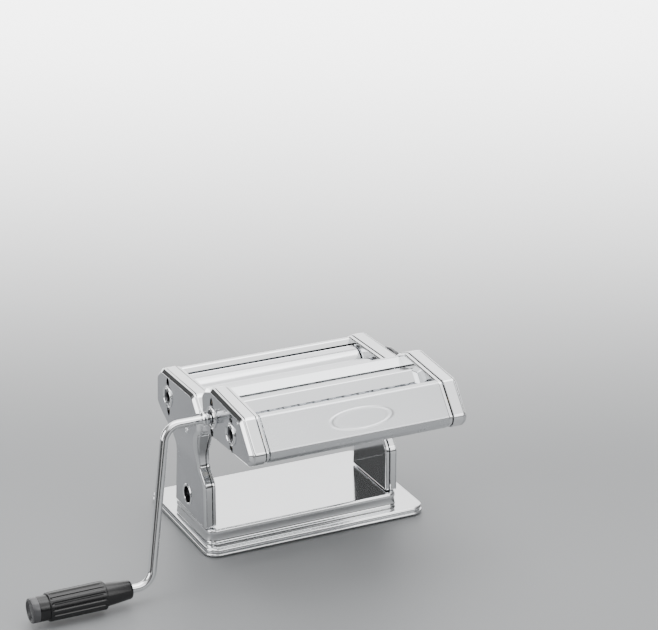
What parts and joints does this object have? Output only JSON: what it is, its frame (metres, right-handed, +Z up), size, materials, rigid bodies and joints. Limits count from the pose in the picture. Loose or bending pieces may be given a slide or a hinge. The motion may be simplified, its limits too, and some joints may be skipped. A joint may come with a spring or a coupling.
{
  "type": "pasta roller machine",
  "caption": "Hand-cranked pasta machine: smooth roller head on a pressed base, with a lift-off attachment that cuts wide and narrow noodles.",
  "frame": {"origin": "centre of the base plate's outline at table level, below its rim", "axes": "+X along the rollers from the crank side to the knob side, +Y from the cutters to the back, +Z up"},
  "size_m": [0.3731, 0.2278, 0.1599],
  "materials": {
    "polished_steel": "mirror polished stainless sheet",
    "satin_steel": "satin stainless sheet",
    "chrome_bar": "bright chrome plated bar",
    "roller_steel": "fine turned and polished",
    "gear_steel": "machined steel",
    "bronze": "oiled sintered bronze",
    "zinc_steel": "zinc plated",
    "black_plastic": "moulded satin black",
    "grey_plastic": "moulded satin dark grey",
    "white_plastic": "moulded ivory",
    "rubber": "matt black"
  },
  "bodies": {
    "stand": {"base_plate": "polished_steel", "rubber_feet": "rubber", "pedestal": "polished_steel", "side_frame_left": "polished_steel", "side_frame_right": "polished_steel", "side_cover_left": "polished_steel", "side_cover_right": "polished_steel", "cover_posts": "zinc_steel", "cover_screws": "chrome_bar", "clamp_socket": "chrome_bar", "tie_rods": "zinc_steel", "tie_rod_nuts": "zinc_steel", "rear_hopper_plate": "polished_steel", "front_guide_plate": "polished_steel", "smooth_scrapers": "white_plastic", "fixed_roller_bushes": "bronze", "head_socket_ring": "chrome_bar", "thickness_dial": "grey_plastic", "knob_bearing": "bronze", "cutter_rails": "satin_steel"},
    "fixed_roller": {"fixed_roller": "roller_steel", "fixed_roller_gear": "gear_steel"},
    "roller_carrier": {"sliding_bushes": "bronze"},
    "moving_roller": {"moving_roller": "roller_steel", "moving_roller_gear": "gear_steel"},
    "thickness_shaft": {"thickness_cam": "gear_steel", "knob_retainer": "zinc_steel"},
    "knob": {"thickness_knob": "black_plastic", "knob_index_pin": "chrome_bar", "knob_spring": "zinc_steel"},
    "cutter_head": {"cutter_frame_left": "polished_steel", "cutter_frame_right": "polished_steel", "cutter_cover_left": "polished_steel", "cutter_cover_right": "polished_steel", "cutter_front_plate": "satin_steel", "cutter_divider": "satin_steel", "cutter_rear_guide": "satin_steel", "cutter_tie_rods": "zinc_steel", "cutter_posts": "zinc_steel", "cutter_bushes": "bronze", "cutter_socket_rings": "chrome_bar", "cutter_hooks": "satin_steel", "wide_combs": "white_plastic", "narrow_combs": "white_plastic", "cutter_rivets": "chrome_bar"},
    "wide_rear": {"wide_cutter_rear": "roller_steel", "wide_cutter_rear_gear": "gear_steel"},
    "wide_front": {"wide_cutter_front": "roller_steel", "wide_cutter_front_gear": "gear_steel"},
    "narrow_rear": {"narrow_cutter_rear": "roller_steel", "narrow_cutter_rear_gear": "gear_steel"},
    "narrow_front": {"narrow_cutter_front": "roller_steel", "narrow_cutter_front_gear": "gear_steel"},
    "crank": {"crank_rod": "chrome_bar", "crank_collar": "chrome_bar", "grip_rivet": "zinc_steel"},
    "grip": {"crank_grip": "black_plastic", "grip_end_cap": "grey_plastic"}
  },
  "joints": [
    {"name": "smooth_roller_turn", "type": "hinge", "parent": "stand", "child": "fixed_roller", "pos_m": [-0.01, 0.0044, 0.1187], "axis": [1, 0, 0], "continuous": true},
    {"name": "thickness_turn", "type": "hinge", "parent": "stand", "child": "thickness_shaft", "pos_m": [-0.01, -0.0258, 0.1187], "axis": [1, 0, 0], "range_deg": [0, 240]},
    {"name": "knob_pull", "type": "slide", "parent": "thickness_shaft", "child": "knob", "axis": [1, 0, 0], "range_m": [0, 0.003], "stiffness_N_per_m": 600, "springref_m": -0.002, "deforming": ["knob_spring"]},
    {"name": "nip_slide", "type": "slide", "parent": "stand", "child": "roller_carrier", "axis": [0, -1, 0], "range_m": [0, 0.0024]},
    {"name": "moving_roller_turn", "type": "hinge", "parent": "roller_carrier", "child": "moving_roller", "pos_m": [-0.01, -0.0258, 0.1187], "axis": [1, 0, 0], "continuous": true},
    {"name": "cutter_lift", "type": "slide", "parent": "stand", "child": "cutter_head", "axis": [0, 0, 1], "range_m": [0, 0.07]},
    {"name": "wide_rear_turn", "type": "hinge", "parent": "cutter_head", "child": "wide_rear", "pos_m": [-0.01, -0.087, 0.136], "axis": [1, 0, 0], "continuous": true},
    {"name": "wide_front_turn", "type": "hinge", "parent": "cutter_head", "child": "wide_front", "pos_m": [-0.01, -0.1046, 0.136], "axis": [1, 0, 0], "continuous": true},
    {"name": "narrow_rear_turn", "type": "hinge", "parent": "cutter_head", "child": "narrow_rear", "pos_m": [-0.01, -0.125, 0.137], "axis": [1, 0, 0], "continuous": true},
    {"name": "narrow_front_turn", "type": "hinge", "parent": "cutter_head", "child": "narrow_front", "pos_m": [-0.01, -0.1426, 0.137], "axis": [1, 0, 0], "continuous": true},
    {"name": "crank_pull", "type": "slide", "parent": "wide_rear", "child": "crank", "axis": [-1, 0, 0], "range_m": [0, 0.025]},
    {"name": "grip_turn", "type": "hinge", "parent": "crank", "child": "grip", "pos_m": [-0.2, -0.10853, 0.01388], "axis": [1, 0, 0], "continuous": true}
  ],
  "couplings": [
    {"joint": "moving_roller_turn", "follows": "smooth_roller_turn", "ratio": -1},
    {"joint": "thickness_turn", "follows": "nip_slide", "rad_per_m": 1745},
    {"joint": "wide_front_turn", "follows": "wide_rear_turn", "ratio": -1},
    {"joint": "narrow_front_turn", "follows": "narrow_rear_turn", "ratio": -1}
  ]
}
